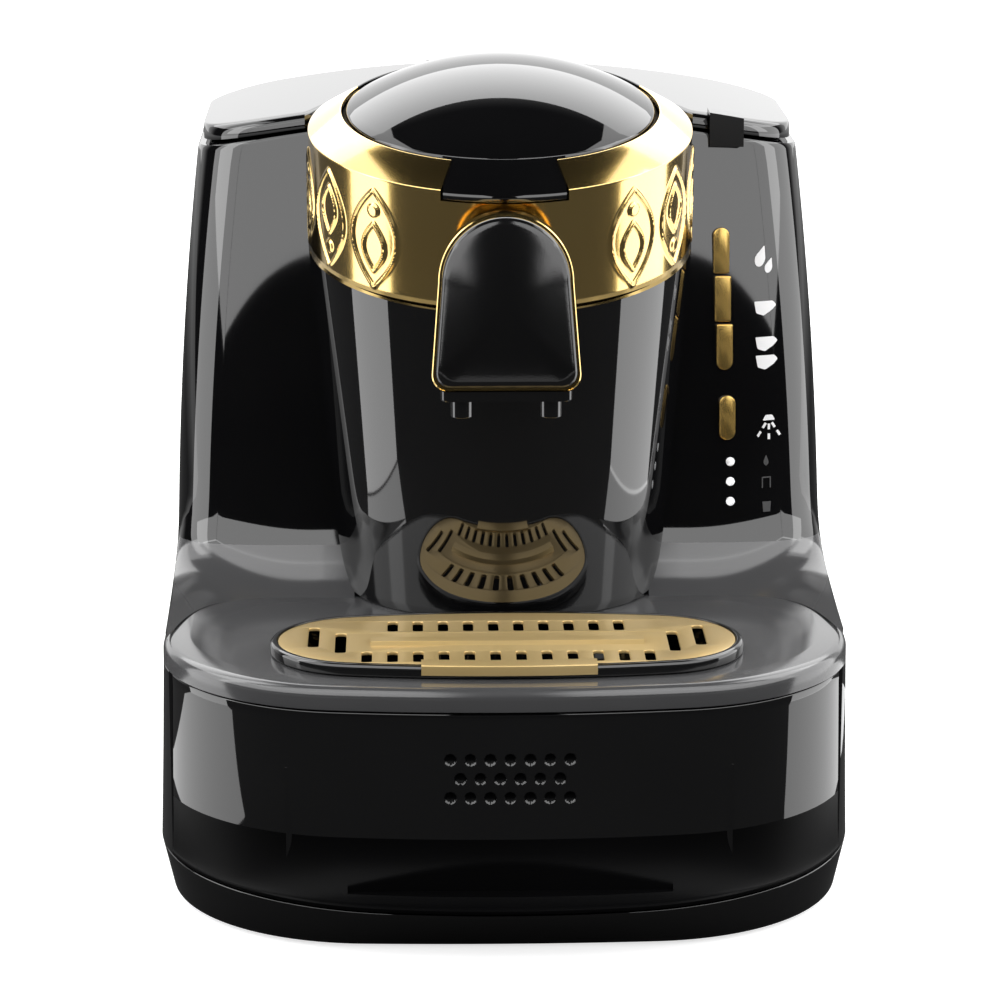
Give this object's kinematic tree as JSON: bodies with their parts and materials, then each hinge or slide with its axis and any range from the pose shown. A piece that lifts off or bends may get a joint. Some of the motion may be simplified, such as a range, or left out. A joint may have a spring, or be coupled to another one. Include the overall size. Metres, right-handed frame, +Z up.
{
  "type": "electric turkish coffee maker",
  "caption": "Countertop Turkish coffee maker with hinged lid over a brew pot, spout over a drip tray, pull-out waste drawer, lift-off water tank and push buttons.",
  "frame": {"origin": "middle of the bounding box's base, on the surface that the rubber feet stand on", "axes": "+X to the right seen from the front, +Y to the back, +Z up"},
  "size_m": [0.2292, 0.267, 0.2683],
  "materials": {
    "gloss_black": "polished, nearly black",
    "satin_black": "fine satin texture",
    "gold": "mirror-polished gold plating",
    "smoked_clear": "smoked transparent plastic",
    "rubber_black": "matt rubber",
    "silicone_clear": "milky silicone",
    "steel": "brushed stainless steel",
    "board_green": "solder-masked circuit board",
    "lamp_white": "milky light guide",
    "part_grey": "plain moulded grey",
    "copper": "varnished winding"
  },
  "bodies": {
    "machine": {"base_pan": "satin_black", "rubber_feet": "rubber_black", "base_screws": "steel", "base_shell": "gloss_black", "deck": "gloss_black", "column_shell": "gloss_black", "housing": "gloss_black", "led_guides": "lamp_white", "control_board": "board_green", "button_switches": "part_grey", "buzzer": "satin_black", "head_ring": "gold", "hinge_cover": "gloss_black", "lid_hinge_pin": "steel", "head_body": "satin_black", "brew_pot": "steel", "heater_disc": "steel", "thermostat": "part_grey", "lid_sensor": "satin_black", "spray_nozzle": "part_grey", "spout_neck": "gold", "spout_shield": "gloss_black", "spout_trim": "gold", "nozzle_block": "gloss_black", "tank_valve_seat": "satin_black", "brew_valve_body": "part_grey", "brew_valve_spring": "steel", "valve_solenoid": "copper", "pump": "part_grey", "pump_bracket": "satin_black", "suction_pipe": "silicone_clear", "delivery_pipe": "silicone_clear", "drain_pipe": "silicone_clear", "spout_channel": "steel", "power_board": "board_green", "power_transformer": "copper", "power_relays": "part_grey", "cord_gland": "rubber_black"},
    "brew_lid": {"lid_dome": "gloss_black", "lid_liner": "satin_black", "lid_gasket": "rubber_black", "lid_magnet": "steel"},
    "tank": {"water_tank": "smoked_clear", "tank_lid_pins": "steel", "tank_valve_spring": "steel"},
    "tank_cover": {"tank_lid": "gloss_black", "tank_lid_tab": "satin_black"},
    "outlet_poppet": {"tank_valve_poppet": "part_grey"},
    "drawer": {"drawer_fascia": "gloss_black", "waste_tank": "satin_black"},
    "tray": {"drip_tray": "gloss_black"},
    "grille": {"drip_grille": "gold"},
    "heat_button": {"button_heat": "gold"},
    "one_cup_button": {"button_one_cup": "gold"},
    "two_cups_button": {"button_two_cups": "gold"},
    "rinse_button": {"button_rinse": "gold"},
    "brew_plunger": {"brew_valve_plunger": "part_grey"}
  },
  "joints": [
    {"name": "lid_hinge", "type": "hinge", "parent": "machine", "child": "brew_lid", "pos_m": [0, 0.05467, 0.26], "axis": [-1, 0, 0], "range_deg": [0, 62]},
    {"name": "tank_lift", "type": "slide", "parent": "machine", "child": "tank", "axis": [0, 0, 1], "range_m": [0, 0.16]},
    {"name": "tank_cover_hinge", "type": "hinge", "parent": "tank", "child": "tank_cover", "pos_m": [0, 0.1303, 0.238], "axis": [-1, 0, 0], "range_deg": [0, 80]},
    {"name": "outlet_valve", "type": "slide", "parent": "tank", "child": "outlet_poppet", "axis": [0, 0, 1], "range_m": [-0.003, 0], "deforming": ["tank_valve_spring"]},
    {"name": "drawer_slide", "type": "slide", "parent": "machine", "child": "drawer", "axis": [0, -1, 0], "range_m": [0, 0.12]},
    {"name": "drip_tray_lift", "type": "slide", "parent": "machine", "child": "tray", "axis": [0, 0, 1], "range_m": [0, 0.02]},
    {"name": "drip_grille_lift", "type": "slide", "parent": "tray", "child": "grille", "axis": [0, 0, 1], "range_m": [0, 0.02]},
    {"name": "heat_press", "type": "slide", "parent": "machine", "child": "heat_button", "axis": [0, 0.9845, -0.1752], "range_m": [0, 0.0012], "stiffness_N_per_m": 900, "springref_m": -0.0006},
    {"name": "one_cup_press", "type": "slide", "parent": "machine", "child": "one_cup_button", "axis": [0, 0.9845, -0.1752], "range_m": [0, 0.0012], "stiffness_N_per_m": 900, "springref_m": -0.0006},
    {"name": "two_cups_press", "type": "slide", "parent": "machine", "child": "two_cups_button", "axis": [0, 0.9845, -0.1752], "range_m": [0, 0.0012], "stiffness_N_per_m": 900, "springref_m": -0.0006},
    {"name": "rinse_press", "type": "slide", "parent": "machine", "child": "rinse_button", "axis": [0, 0.9845, -0.1752], "range_m": [0, 0.0012], "stiffness_N_per_m": 900, "springref_m": -0.0006},
    {"name": "brew_valve_slide", "type": "slide", "parent": "machine", "child": "brew_plunger", "axis": [0, 0.1908, -0.9816], "range_m": [0, 0.004], "stiffness_N_per_m": 300, "springref_m": -0.002, "deforming": ["brew_valve_spring"]}
  ],
  "couplings": [
    {"joint": "outlet_valve", "follows": "tank_lift", "ratio": -0.01875}
  ]
}
